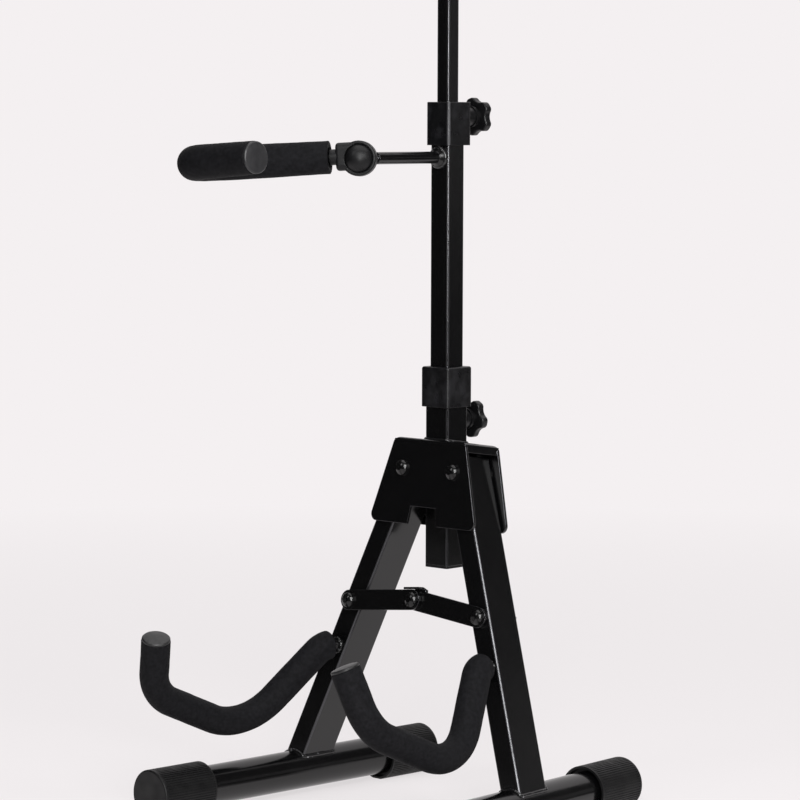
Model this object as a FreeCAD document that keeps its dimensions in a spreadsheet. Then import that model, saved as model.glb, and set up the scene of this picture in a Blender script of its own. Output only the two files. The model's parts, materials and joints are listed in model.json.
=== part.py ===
import FreeCAD, Part
import math
import os
import Sketcher
from FreeCAD import Placement, Rotation, Vector

doc = FreeCAD.newDocument("violin_stand")
sheet = doc.addObject("Spreadsheet::Sheet", "sizes")

# Driving dimensions, in millimetres and degrees. The floor is at height 0 and the front is towards -Y.
driving = {
    # The column of three square tubes, one inside the other
    "column_setback": 74.4,
    "lower_side": 25, "lower_wall": 1.5, "lower_bottom": 203, "lower_top": 361,
    "middle_side": 20, "middle_wall": 1.5, "middle_bottom": 262, "middle_top": 581,
    "upper_side": 13, "upper_wall": 1.2, "upper_bottom": 470, "upper_top": 764,
    "tube_corner": 2.0, "upper_corner": 1.4, "slide_gap": 0.15,
    "plug_flange": 2.0, "plug_depth": 11.0, "guide_height": 12.0, "guide_lip": 2.5,
    # Plastic collars on the two lower tubes, and the clamping knobs at their backs
    "lower_collar_side": 30.4, "lower_collar_back": 0, "lower_collar_low": 335, "lower_collar_high": 368.3,
    "upper_collar_side": 25.4, "upper_collar_back": 2.6,
    "upper_collar_low": 551, "upper_collar_high": 586.5,
    "collar_corner": 2.6, "lower_collar_edge": 2.0, "upper_collar_edge": 0.8,
    "lower_knob_height": 323.1, "lower_knob_turn": 49.1, "upper_knob_height": 574.5, "upper_knob_turn": 0,
    "boss_radius": 8.2, "boss_nut_radius": 5.7, "boss_length": 5.0, "boss_gap": 0.4,
    "lower_knob_hub": 10.0, "upper_knob_hub": 13.8,
    "hub_radius": 8.0, "hub_ring_radius": 9.0, "hub_ring_width": 2.4,
    "knob_radius": 16.0, "knob_thickness": 7.1, "knob_lobes": 5,
    "scallop_radius": 8.6, "scallop_centre": 21.4, "lobe_round": 4.0, "knob_edge": 1.6,
    "knob_crown_radius": 11.0, "knob_crown_rise": 2.75, "knob_crown_sphere": 23.375,
    "screw_radius": 3.0, "screw_gap": 0.3, "thread_gap": 0.05, "screw_hole": 3.3,
    # The folded hinge bracket, raked back from its foot to its head
    "rake": 8.32, "bracket_height": 300.35, "bracket_rise": 5.4, "bracket_drop": 66.1,
    "bracket_half_depth": 21.3, "bracket_sheet": 2.5, "bend_radius": 3.6,
    "bracket_half_head": 38.8, "bracket_half_foot": 59.2, "bracket_corner": 6.0,
    "lip_depth": 8.0, "lip_start": 1.4, "lip_out": 0.6,
    "notch_half_head": 14.0, "notch_half_foot": 16.5, "notch_depth": 15.0,
    "column_notch_depth": 30.0, "column_gap": 0.1,
    # Hinge bolts, their bushes and nuts
    "hinge_half_span": 27.8, "hinge_drop": 19.9, "hinge_bolt_radius": 4.0, "hinge_hole_gap": 0.1,
    "head_radius": 7.2, "head_rim": 1.4, "dome_radius": 7.8, "dome_rise": 3.2,
    "socket_corner": 2.9, "socket_depth": 2.4,
    "hinge_nut_radius": 7.5, "hinge_nut_height": 6.5, "bolt_tail": 1.5,
    "bush_radius": 6.0, "bush_flange_radius": 9.0, "bush_flange": 1.1, "bush_depth": 9.0, "bush_gap": 0.05,
    # Legs, feet and the rubber caps that stand on the floor
    "splay": 20.3, "leg_width": 20, "leg_depth": 35, "leg_wall": 1.5, "leg_corner": 2.0,
    "leg_over": 12.0, "leg_length": 275.0, "foot_joint": 266.8,
    "foot_radius": 16.5, "foot_wall": 1.5, "front_reach": 177.5, "rear_reach": 135.0,
    "cap_radius": 21.3, "cap_length": 55.0, "cap_wall": 5.0, "cap_edge": 1.4,
    "cap_lip": 2.0, "cap_mouth": 5.0,
    "cap_flat": 0.5, "cap_gap": 0.05, "cap_ribs": 63, "rib_groove": 0.9, "rib_depth": 0.6,
    "rib_start": 1.5, "rib_stop": 3.0, "cap_end_gap": 0.2,
    # Padded cradle arms, bent in one plane
    "arm_radius": 5.0, "arm_bore": 3.4, "cradle_drop": 165.0, "cradle_turn_out": 5.3,
    "cradle_foam_radius": 12.0, "foam_gap": 0.05, "cradle_root": 5.0, "cradle_bare": 15.0,
    "cradle_bend_one": 16.5, "cradle_turn_one": 58.4, "cradle_run_one": 52.0,
    "cradle_bend_two": 52.8, "cradle_turn_two": 72.3, "cradle_run_two": 51.0,
    "cradle_bend_three": 39.4, "cradle_turn_three": 56.0, "cradle_run_three": 30.0,
    "tip_thickness": 1.4, "tip_chamfer": 0.8, "tip_crown": 1.2, "tip_inset": 0.4,
    "spigot_length": 9.0, "spigot_gap": 0.05,
    # Folding brace between the legs
    "brace_drop": 122.7, "brace_rise": 7.2, "link_half_width": 8.5, "link_sheet": 3.0, "link_gap": 0.3,
    "brace_gap": 0.5, "link_head_gap": 0.2, "centre_head_gap": 0.1, "centre_nut_gap": 0.2,
    "link_bolt_radius": 3.0, "link_nut_radius": 5.6, "link_nut_height": 5.0,
    "spacer_radius": 7.0, "spacer_gap": 0.1,
    "tab_left": 8.6, "tab_right": 13.0, "tab_sheet": 1.8, "tab_gap": 0.25,
    "tab_slope": 28, "tab_slope_run": 5.0,
    # Neck arm, its ball, and the padded yoke
    "arm_height": 541.0, "arm_reach": 106.0, "arm_bead_radius": 9.2, "arm_bead_width": 3.4,
    "stud_radius": 3.2, "stud_depth": 3.0, "stud_length": 19.0, "ball_radius": 12.2, "ball_gap": 0.05,
    "socket_radius": 14.3, "socket_half_depth": 5.4, "socket_edge": 1.4, "socket_mouth": 11.6,
    "seat_thickness": 0.9, "seat_half_width": 4.2,
    "shoulder_width": 22.6, "shoulder_depth": 13.6, "shoulder_corner": 5.0, "shoulder_end": 18.4,
    "shoulder_edge": 2.4, "neck_radius": 6.4, "neck_start": 15.0, "neck_end": 23.5,
    "yoke_heading": 214.0, "yoke_droop": 4.1, "yoke_rise": 2.1, "yoke_foam_start": 24.0,
    "yoke_socket_depth": 9.5,
    "yoke_run_one": 73.6, "yoke_bend": 30.0, "yoke_turn": 146.0, "yoke_run_two": 55.8,
    "yoke_foam_radius": 13.2,
    # Bow hook at the head of the upper tube
    "hook_height": 746.0, "hook_radius": 2.5, "hook_reach": 42.0, "hook_bend": 9.0, "hook_turn": 80.0,
    "hook_rise": 10.0, "hook_sleeve_radius": 4.4, "hook_sleeve_start": 4.0,
}
for row, (alias, value) in enumerate(driving.items(), start=1):
    sheet.set("A%d" % row, alias)
    sheet.set("B%d" % row, str(value))
    sheet.setAlias("B%d" % row, alias)
doc.recompute()

nodes = {}


class Size:
    """A size worked out from the sheet: its value now, and the expression that a property is bound to."""

    def __init__(self, value, text):
        self.value = value
        self.text = text

    def __add__(self, other):
        other = as_size(other)
        return Size(self.value + other.value, "(%s + %s)" % (self.text, other.text))

    def __sub__(self, other):
        other = as_size(other)
        return Size(self.value - other.value, "(%s - %s)" % (self.text, other.text))

    def __mul__(self, factor):
        return Size(self.value * factor, "(%s * %s)" % (self.text, factor))

    def __truediv__(self, divisor):
        return Size(self.value / divisor, "(%s / %s)" % (self.text, divisor))


def as_size(value):
    return value if isinstance(value, Size) else Size(float(value), "%s" % value)


def cell(alias):
    return Size(float(sheet.get(alias)), "sizes.%s" % alias)


def number(alias):
    return cell(alias).value


def bind(feature, **sizes):
    for name, given in sizes.items():
        feature.setExpression(name, as_size(given).text)


def at(x=0.0, y=0.0, z=0.0, axis=None, angle=0.0):
    """A place shifted by x, y, z and then turned by an angle about an axis."""
    turn = Rotation(axis, angle) if axis else Rotation()
    return Placement(Vector(x, y, z), turn)


def keep(label, feature):
    """Give a finished piece its name."""
    feature.Label = label
    nodes[label] = feature
    return feature


ACROSS = Vector(1, 0, 0)
BACK = Vector(0, 1, 0)
UP = Vector(0, 0, 1)


# Plain solids and how they are joined
def block(name, length, width, height, place):
    """A box that stands on its place, centred in length and width."""
    box = doc.addObject("Part::Box", name)
    length, width, height = as_size(length), as_size(width), as_size(height)
    bind(box, Length=length, Width=width, Height=height)
    box.Placement = place * at(-length.value / 2, -width.value / 2)
    return box


def cylinder(name, radius, height, place):
    item = doc.addObject("Part::Cylinder", name)
    bind(item, Radius=radius, Height=height)
    item.Placement = place
    return item


def cone(name, radius_one, radius_two, height, place):
    item = doc.addObject("Part::Cone", name)
    bind(item, Radius1=radius_one, Radius2=radius_two, Height=height)
    item.Placement = place
    return item


def ball(name, radius, place):
    item = doc.addObject("Part::Sphere", name)
    bind(item, Radius=radius)
    item.Placement = place
    return item


def fuse(name, *items):
    joined = doc.addObject("Part::MultiFuse", name)
    joined.Shapes = list(items)
    return joined


def cut(name, base, *tools):
    remainder = doc.addObject("Part::Cut", name)
    remainder.Base = base
    remainder.Tool = tools[0] if len(tools) == 1 else fuse(name + "_tools", *tools)
    return remainder


def common(name, first, second):
    shared = doc.addObject("Part::MultiCommon", name)
    shared.Shapes = [first, second]
    return shared


def ring(name, outer, inner, height, place):
    """A straight round sleeve."""
    solid = cylinder(name + "_outer", outer, height, place)
    bore = cylinder(name + "_bore", inner, as_size(height) + 2, place * at(z=-1))
    return cut(name, solid, bore)


# Sketched bodies
def new_body(name, place):
    body = doc.addObject("PartDesign::Body", name)
    body.Placement = place
    return body


def sketch_on(body, name, role, offset=0.0):
    sketch = body.newObject("Sketcher::SketchObject", name)
    plane = next(item for item in body.Origin.OriginFeatures if item.Role == role)
    sketch.AttachmentSupport = [(plane, "")]
    sketch.MapMode = "FlatFace"
    sketch.AttachmentOffset = at(z=offset)
    return sketch


def dimension(sketch, size, *constraint):
    """Add a dimension to a sketch and bind it to its size."""
    row = sketch.addConstraint(Sketcher.Constraint(*constraint, size.value))
    sketch.setExpression("Constraints[%d]" % row, size.text)


def draw_rectangle(sketch, width, height):
    """A rectangle about the sketch's origin."""
    width, height = as_size(width), as_size(height)
    x, y = width.value / 2, height.value / 2
    corners = [Vector(-x, -y), Vector(x, -y), Vector(x, y), Vector(-x, y)]
    first = sketch.GeometryCount
    for n in range(4):
        sketch.addGeometry(Part.LineSegment(corners[n], corners[(n + 1) % 4]))
    for n in range(4):
        sketch.addConstraint(Sketcher.Constraint("Coincident", first + n, 2, first + (n + 1) % 4, 1))
    for n in (0, 2):
        sketch.addConstraint(Sketcher.Constraint("Horizontal", first + n))
        sketch.addConstraint(Sketcher.Constraint("Vertical", first + n + 1))
    sketch.addConstraint(Sketcher.Constraint("Symmetric", first, 1, first + 1, 2, -1, 1))
    dimension(sketch, width, "DistanceX", first, 1, first, 2)
    dimension(sketch, height, "DistanceY", first + 1, 1, first + 1, 2)


def draw_circle(sketch, radius, x=None):
    """A circle about the sketch's origin, or at a distance along its X axis."""
    radius = as_size(radius)
    centre = Vector(x.value if x else 0, 0, 0)
    row = sketch.addGeometry(Part.Circle(centre, UP, radius.value))
    if x:
        sketch.addConstraint(Sketcher.Constraint("PointOnObject", row, 3, -1))
        dimension(sketch, x, "DistanceX", -1, 1, row, 3)
    else:
        sketch.addConstraint(Sketcher.Constraint("Coincident", row, 3, -1, 1))
    dimension(sketch, radius, "Radius", row)


def draw_polygon(sketch, points):
    """A closed outline of straight lines through points."""
    first = sketch.GeometryCount
    count = len(points)
    for n in range(count):
        sketch.addGeometry(Part.LineSegment(Vector(*points[n]), Vector(*points[(n + 1) % count])))
    for n in range(count):
        sketch.addConstraint(Sketcher.Constraint("Coincident", first + n, 2, first + (n + 1) % count, 1))


def pad(body, sketch, length):
    feature = body.newObject("PartDesign::Pad", sketch.Name + "_pad")
    feature.Profile = sketch
    bind(feature, Length=length)
    doc.recompute()
    return feature


def pocket(body, sketch, length):
    """Cut a sketch out along its own normal, and make sure that it met the solid."""
    before = body.Shape.Volume
    feature = body.newObject("PartDesign::Pocket", sketch.Name + "_pocket")
    feature.Profile = sketch
    feature.Reversed = True
    bind(feature, Length=length)
    doc.recompute()
    if not body.Shape.Volume < before - 0.01:
        raise RuntimeError("%s cut nothing" % feature.Name)
    return feature


def polar(body, original, count):
    """Repeat a feature about the body's Z axis."""
    pattern = body.newObject("PartDesign::PolarPattern", original.Name + "_polar")
    pattern.Originals = [original]
    axis = next(item for item in body.Origin.OriginFeatures if item.Role == "Z_Axis")
    pattern.Axis = (axis, [""])
    pattern.Angle = 360
    bind(pattern, Occurrences=count)
    body.Tip = pattern
    doc.recompute()
    return pattern


def round_edges(body, feature, radius, wanted):
    """Round those edges of a feature that the wanted test picks out."""
    names = ["Edge%d" % (n + 1) for n, edge in enumerate(feature.Shape.Edges) if wanted(edge)]
    fillet = body.newObject("PartDesign::Fillet", feature.Name + "_round")
    fillet.Base = (feature, names)
    bind(fillet, Radius=radius)
    doc.recompute()
    return fillet


def along_z(edge):
    if len(edge.Vertexes) < 2:
        return False
    direction = edge.Vertexes[1].Point - edge.Vertexes[0].Point
    return direction.Length > 0.1 and abs(direction.z) > 0.999 * direction.Length


def square_tube(name, width, depth, wall, corner, length, place):
    """A rectangular tube along its own Z, with rounded outer corners."""
    width, depth, wall = as_size(width), as_size(depth), as_size(wall)
    body = new_body(name, place)
    sketch = sketch_on(body, name + "_section", "XY_Plane")
    draw_rectangle(sketch, width, depth)
    draw_rectangle(sketch, width - wall * 2, depth - wall * 2)
    tube = pad(body, sketch, length)
    limit = width.value / 2 - wall.value / 2
    round_edges(body, tube, corner, lambda edge: along_z(edge) and abs(edge.CenterOfMass.x) > limit)
    return body


def square_bar(name, width, depth, corner, length, place):
    body = new_body(name, place)
    sketch = sketch_on(body, name + "_section", "XY_Plane")
    draw_rectangle(sketch, width, depth)
    round_edges(body, pad(body, sketch, length), corner, along_z)
    return body


class Route:
    """Straight runs and tangent bends in one plane, from the origin along X; a left bend is positive."""

    def __init__(self):
        self.steps = []
        self.point = Vector()
        self.heading = 0.0

    def run(self, length):
        start = self.point
        direction = Vector(math.cos(self.heading), math.sin(self.heading), 0)
        self.point = start + direction * length.value
        self.steps.append(("run", Part.LineSegment(start, self.point), length, None, True))
        return self

    def bend(self, radius, turn, left=True):
        side = 1 if left else -1
        to_centre = Vector(-math.sin(self.heading), math.cos(self.heading), 0) * (side * radius.value)
        centre = self.point + to_centre
        begin = math.atan2(-to_centre.y, -to_centre.x)
        swept = math.radians(turn.value)
        circle = Part.Circle(centre, UP, radius.value)
        end = begin + side * swept
        arc = Part.ArcOfCircle(circle, min(begin, end), max(begin, end))
        self.heading += side * swept
        self.point = centre + Vector(math.cos(end), math.sin(end), 0) * radius.value
        self.steps.append(("bend", arc, radius, turn, left))
        return self

    def draw(self, sketch):
        """Put the route into a sketch, each run and bend bound to its size."""
        last = None
        for kind, curve, length, turn, left in self.steps:
            row = sketch.addGeometry(curve)
            begin, end = (1, 2) if left else (2, 1)
            if last is None:
                sketch.addConstraint(Sketcher.Constraint("Coincident", row, begin, -1, 1))
                if kind == "run":
                    sketch.addConstraint(Sketcher.Constraint("Horizontal", row))
                else:
                    sketch.addConstraint(Sketcher.Constraint("PointOnObject", row, 3, -2))
            else:
                sketch.addConstraint(Sketcher.Constraint("Tangent", last[0], last[1], row, begin))
            if kind == "run":
                dimension(sketch, length, "Distance", row)
            else:
                dimension(sketch, length, "Radius", row)
                angle = sketch.addConstraint(Sketcher.Constraint("Angle", row, math.radians(turn.value)))
                sketch.setExpression("Constraints[%d]" % angle, "%s * 1 deg" % turn.text)
            last = (row, end)

    def end_place(self):
        """A place at the far end whose Z points onward."""
        turned = Rotation(UP, math.degrees(self.heading)) * Rotation(BACK, 90)
        return Placement(self.point, turned)


def pipe(name, route, outer, inner, place):
    """A round tube, or a solid rod where inner is None, swept along a route."""
    body = new_body(name, place)
    path = sketch_on(body, name + "_path", "XY_Plane")
    route.draw(path)
    section = sketch_on(body, name + "_section", "YZ_Plane")
    draw_circle(section, outer)
    if inner:
        draw_circle(section, inner)
    doc.recompute()
    sweep = body.newObject("PartDesign::AdditivePipe", name + "_sweep")
    sweep.Profile = section
    sweep.Spine = (path, ["Edge%d" % (n + 1) for n in range(len(route.steps))])
    doc.recompute()
    return body


def hexagon(name, corner, height, place):
    """A six-sided prism, its corners at a distance from its axis."""
    prism = doc.addObject("Part::Prism", name)
    prism.Polygon = 6
    bind(prism, Circumradius=corner, Height=height)
    prism.Placement = place
    return prism


def domed_head(name, place):
    """A round bolt head with a key socket; the place is the centre of its seat, with Z outwards."""
    rim = cylinder(name + "_rim", cell("head_radius"), cell("head_rim"), place)
    centre = number("head_rim") - number("dome_radius") + number("dome_rise")
    dome = ball(name + "_dome", cell("dome_radius"), place * at(z=centre))
    side = cell("dome_radius") * 2
    face = block(name + "_slice", side, side, cell("dome_radius"), place * at(z=number("head_rim")))
    head = fuse(name + "_blank", rim, common(name + "_cap", dome, face))
    key = hexagon(name + "_key", cell("socket_corner"), cell("socket_depth") + 1,
                  place * at(z=number("head_rim") + number("dome_rise") - number("socket_depth")))
    return cut(name, head, key)


def hex_nut(name, radius, height, bore, place):
    nut = hexagon(name + "_hexagon", radius, height, place)
    hole = cylinder(name + "_hole", bore, as_size(height) + 2, place * at(z=-1))
    return cut(name, nut, hole)


column = at(y=number("column_setback"))


def on_column(height, y=0.0):
    return column * at(y=y, z=height)


def behind(height, y):
    """A place behind the column whose Z points to the back."""
    return column * at(y=y, z=height, axis=ACROSS, angle=-90)


# Lower tube, with its bottom plug and the hole for the clamping screw
lower_blank = square_tube("lower_tube_blank", cell("lower_side"), cell("lower_side"), cell("lower_wall"),
                          cell("tube_corner"), cell("lower_top") - cell("lower_bottom"),
                          on_column(number("lower_bottom")))
lower_hole = cylinder("lower_screw_hole", cell("screw_hole"), cell("lower_side") / 2,
                      behind(number("lower_knob_height"), number("lower_side") / 4))
keep("lower_tube", cut("lower_tube", lower_blank, lower_hole))


def end_plug(label, side, wall, corner, place):
    """A moulded plug: a flange of the tube's size and a spigot inside it. Z points into the tube."""
    flange = square_bar(label + "_flange", side, side, corner, cell("plug_flange"),
                        place * at(z=-number("plug_flange")))
    inside = side - wall * 2 - cell("slide_gap")
    spigot = block(label + "_spigot", inside, inside, cell("plug_depth"), place)
    return keep(label, fuse(label, flange, spigot))


end_plug("lower_tube_plug", cell("lower_side"), cell("lower_wall"), cell("tube_corner"),
         on_column(number("lower_bottom")))


# Hinge bracket: one sheet folded into a channel, with lips at both ends of its top
bracket = on_column(number("bracket_height")) * at(axis=ACROSS, angle=90 - number("rake"))
half_depth = number("bracket_half_depth")
rise = number("bracket_rise")
drop = number("bracket_drop")
channel_width = cell("bracket_half_foot") * 2
channel_body = new_body("bracket_channel", bracket * at(x=-number("bracket_half_foot")))
channel_section = sketch_on(channel_body, "channel_section", "YZ_Plane")
sheet_inside = half_depth - number("bracket_sheet")
draw_polygon(channel_section, [
    (-drop, half_depth), (-drop, sheet_inside), (rise - number("bracket_sheet"), sheet_inside),
    (rise - number("bracket_sheet"), -sheet_inside), (-drop, -sheet_inside), (-drop, -half_depth),
    (rise, -half_depth), (rise, half_depth)])
channel_pad = pad(channel_body, channel_section, channel_width)


def at_a_fold(edge):
    """Whether an edge runs along the outside of one of the channel's two folds."""
    middle = edge.CenterOfMass - Vector(number("bracket_half_foot"), rise, 0)
    return abs(middle.x) < 0.01 and abs(middle.y) < 0.01 and abs(abs(middle.z) - half_depth) < 0.01


round_edges(channel_body, channel_pad, cell("bend_radius"), at_a_fold)

outline_body = new_body("bracket_outline", bracket * at(z=-half_depth - 5))
outline_sketch = sketch_on(outline_body, "bracket_outline_sketch", "XY_Plane")
draw_polygon(outline_sketch, [
    (-number("bracket_half_foot"), -drop), (number("bracket_half_foot"), -drop),
    (number("bracket_half_head"), rise), (-number("bracket_half_head"), rise)])
outline_pad = pad(outline_body, outline_sketch, cell("bracket_half_depth") * 2 + 10)
round_edges(outline_body, outline_pad, cell("bracket_corner"), along_z)
channel = common("bracket_folded", channel_body, outline_body)

lips = []
for side in (-1, 1):
    lip_x = side * (number("bracket_half_head") - number("bracket_sheet") / 2 + number("lip_out"))
    lip_y = rise - (number("lip_depth") + number("lip_start")) / 2
    lips.append(block("bracket_lip_%d" % (side + 2), cell("bracket_sheet"),
                      cell("lip_depth") - cell("lip_start"), cell("bracket_half_depth") * 2 - 1,
                      bracket * at(lip_x, lip_y, -half_depth + 0.5)))


def notch(name, depth, z):
    """A trapezium cut up from the bottom edge of one plate."""
    body = new_body(name, bracket * at(z=z))
    sketch = sketch_on(body, name + "_outline", "XY_Plane")
    head, foot = number("notch_half_head"), number("notch_half_foot")
    draw_polygon(sketch, [
        (-foot, -drop - 1), (foot, -drop - 1), (head, -drop + depth), (-head, -drop + depth)])
    pad(body, sketch, cell("bracket_sheet") + 2)
    return body


bracket_tools = [notch("brace_notch", number("notch_depth"), sheet_inside - 1),
                 notch("column_notch", number("column_notch_depth"), -half_depth - 1)]
column_side = cell("lower_side") + cell("column_gap") * 2
bracket_tools.append(block("bracket_column_hole", column_side, column_side, 20,
                           on_column(number("bracket_height") - 8)))
hinge_x = number("hinge_half_span")
hinge_y = -number("hinge_drop")
for side in (-1, 1):
    bracket_tools.append(cylinder("bracket_bolt_hole_%d" % (side + 2),
                                  cell("hinge_bolt_radius") + cell("hinge_hole_gap"),
                                  cell("bracket_half_depth") * 2 + 4,
                                  bracket * at(side * hinge_x, hinge_y, -half_depth - 2)))
keep("hinge_bracket", cut("hinge_bracket", fuse("bracket_sheet_metal", channel, *lips), *bracket_tools))

# Hinge bolts through both plates, with nuts at the back
bolts = []
nuts = []
for side in (-1, 1):
    seat = bracket * at(side * hinge_x, hinge_y, half_depth)
    length = cell("bracket_half_depth") * 2 + cell("hinge_nut_height") + cell("bolt_tail")
    shank = cylinder("hinge_shank_%d" % (side + 2), cell("hinge_bolt_radius"), length,
                     seat * at(z=-length.value))
    bolts.append(fuse("hinge_bolt_%d" % (side + 2), domed_head("hinge_head_%d" % (side + 2), seat), shank))
    nut_seat = seat * at(z=-2 * half_depth - number("hinge_nut_height"))
    nuts.append(hex_nut("hinge_nut_%d" % (side + 2), cell("hinge_nut_radius"), cell("hinge_nut_height"),
                        cell("hinge_bolt_radius") + cell("thread_gap"), nut_seat))
keep("hinge_bolts", fuse("hinge_bolts", *bolts))
keep("hinge_nuts", fuse("hinge_nuts", *nuts))


# Collars: a sleeve over the tube below and a closer hole for the tube that slides in it
def collar(label, tube_side, tube_top, inner_side, boss_height):
    side, back = cell(label + "_side"), cell(label + "_back")
    low = cell(label + "_low")
    height = cell(label + "_high") - low
    sleeve = square_bar(label + "_block", side, side + back, cell("collar_corner"), height,
                        on_column(low.value, back.value / 2))
    doc.recompute()
    round_edges(sleeve, sleeve.Tip, cell(label + "_edge"),
                lambda edge: abs(edge.CenterOfMass.z - height.value) < 0.01)
    wide = tube_side + cell("slide_gap")
    socket = block(label + "_socket", wide, wide, tube_top - low + 1, on_column(low.value - 1))
    close = inner_side + cell("slide_gap") * 2
    mouth = block(label + "_mouth", close, close, height + 2, on_column(low.value - 1))
    tools = [socket, mouth]
    solid = sleeve
    if boss_height:
        boss = cylinder(label + "_boss", cell("boss_radius"), cell("boss_length") - back + 1,
                        behind(boss_height, side.value / 2 + back.value - 1))
        solid = fuse(label + "_with_boss", sleeve, boss)
        tools.append(cylinder(label + "_nut_pocket", cell("boss_nut_radius") + cell("thread_gap"), side,
                              behind(boss_height, tube_side.value / 2)))
    return keep(label, cut(label, solid, *tools))


collar("lower_collar", cell("lower_side"), cell("lower_top"), cell("middle_side"), None)
keep("lower_knob_nut", ring("lower_knob_nut", cell("boss_radius"),
                            cell("screw_radius") + cell("thread_gap"), cell("boss_length"),
                            behind(number("lower_knob_height"), number("lower_side") / 2)))

# Middle tube, with a guide at its foot and the upper collar on its head
middle_blank = square_tube("middle_tube_blank", cell("middle_side"), cell("middle_side"),
                           cell("middle_wall"), cell("tube_corner"),
                           cell("middle_top") - cell("middle_bottom"), on_column(number("middle_bottom")))
middle_hole = cylinder("middle_screw_hole", cell("screw_hole"), cell("middle_side") / 2,
                       behind(number("upper_knob_height"), number("middle_side") / 4))
keep("middle_tube", cut("middle_tube", middle_blank, middle_hole))


def guide(label, outer_side, outer_wall, tube_side, tube_wall, bottom):
    """A plastic foot in the end of a sliding tube, with a lip that runs in the tube outside it."""
    lip_side = outer_side - outer_wall * 2 - cell("slide_gap") * 2
    lip = block(label + "_lip", lip_side, lip_side, cell("guide_lip"),
                on_column(bottom - number("guide_lip")))
    spigot_side = tube_side - tube_wall * 2 - cell("slide_gap")
    spigot = block(label + "_spigot", spigot_side, spigot_side, cell("guide_height"), on_column(bottom))
    return keep(label, fuse(label, lip, spigot))


guide("middle_tube_guide", cell("lower_side"), cell("lower_wall"), cell("middle_side"), cell("middle_wall"),
      number("middle_bottom"))
collar("upper_collar", cell("middle_side"), cell("middle_top"), cell("upper_side"),
       number("upper_knob_height"))
upper_boss_end = number("upper_collar_side") / 2 + number("boss_length")
pocket_depth = (cell("upper_collar_side") - cell("middle_side")) / 2 + cell("boss_length")
nut_place = behind(number("upper_knob_height"), number("middle_side") / 2 + number("screw_gap"))
keep("upper_knob_nut", ring("upper_knob_nut", cell("boss_nut_radius"),
                            cell("screw_radius") + cell("thread_gap"), pocket_depth - cell("screw_gap"),
                            nut_place))

# Upper tube, with its guide and top plug
upper_place = on_column(number("upper_bottom"))
keep("upper_tube", square_tube("upper_tube_body", cell("upper_side"), cell("upper_side"),
                               cell("upper_wall"), cell("upper_corner"),
                               cell("upper_top") - cell("upper_bottom"), upper_place))
guide("upper_tube_guide", cell("middle_side"), cell("middle_wall"), cell("upper_side"), cell("upper_wall"),
      number("upper_bottom"))
end_plug("top_plug", cell("upper_side"), cell("upper_wall"), cell("upper_corner"),
         on_column(number("upper_top")) * at(axis=ACROSS, angle=180))


# Clamping knobs: a lobed head and hub moulded on a steel screw
def knob(label, height, start, tip, turn):
    place = behind(height, start) * at(axis=UP, angle=turn)
    hub_end = number(label + "_hub")
    body = new_body(label + "_star", place * at(z=hub_end))
    disc = sketch_on(body, label + "_disc", "XY_Plane")
    draw_circle(disc, cell("knob_radius"))
    pad(body, disc, cell("knob_thickness"))
    scallop = sketch_on(body, label + "_scallop", "XY_Plane", -1)
    draw_circle(scallop, cell("scallop_radius"), cell("scallop_centre"))
    star = polar(body, pocket(body, scallop, cell("knob_thickness") + 2), cell("knob_lobes"))
    rounded = round_edges(body, star, cell("lobe_round"), along_z)
    faces = (0.0, number("knob_thickness"))
    round_edges(body, rounded, cell("knob_edge"),
                lambda edge: min(abs(edge.CenterOfMass.z - face) for face in faces) < 0.01)
    back = hub_end + number("knob_thickness")
    sphere = ball(label + "_crown_sphere", cell("knob_crown_sphere"),
                  place * at(z=back + number("knob_crown_rise") - number("knob_crown_sphere")))
    crown_core = cylinder(label + "_crown_core", cell("knob_crown_radius"),
                          cell("knob_thickness") / 2 + cell("knob_crown_rise"),
                          place * at(z=back - number("knob_thickness") / 2))
    crown = common(label + "_crown", sphere, crown_core)
    hub = cylinder(label + "_hub", cell("hub_radius"), cell(label + "_hub") + 1, place)
    collar_ring = cylinder(label + "_hub_ring", cell("hub_ring_radius"), cell("hub_ring_width"),
                           place * at(z=hub_end - number("hub_ring_width") - 3))
    bore = cylinder(label + "_screw_seat", cell("screw_radius") + cell("thread_gap"),
                    cell(label + "_hub") + 3, place * at(z=-1))
    keep(label, cut(label, fuse(label + "_moulding", body, crown, hub, collar_ring), bore))
    length = cell(label + "_hub") + 2 + (start - tip)
    screw = cylinder(label + "_screw", cell("screw_radius"), length, behind(height, tip))
    return keep(label + "_screw", screw)


lower_boss_end = number("lower_side") / 2 + number("boss_length")
knob("lower_knob", number("lower_knob_height"), lower_boss_end + number("boss_gap"),
     number("middle_side") / 2 + number("screw_gap"), number("lower_knob_turn"))
knob("upper_knob", number("upper_knob_height"), upper_boss_end + number("boss_gap"),
     number("upper_side") / 2 + number("screw_gap"), number("upper_knob_turn"))

# Where the brace meets the legs, in the bracket's plane
splay = math.radians(number("splay"))
pivot_x = hinge_x + number("brace_drop") * math.sin(splay)
pivot_y = hinge_y - number("brace_drop") * math.cos(splay)
link_length = math.hypot(pivot_x, number("brace_rise"))
link_angle = math.degrees(math.atan2(number("brace_rise"), pivot_x))
leg_face = number("leg_depth") / 2
rear_layer = leg_face + number("brace_gap")
front_layer = rear_layer + number("link_sheet") + number("link_gap")


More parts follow.
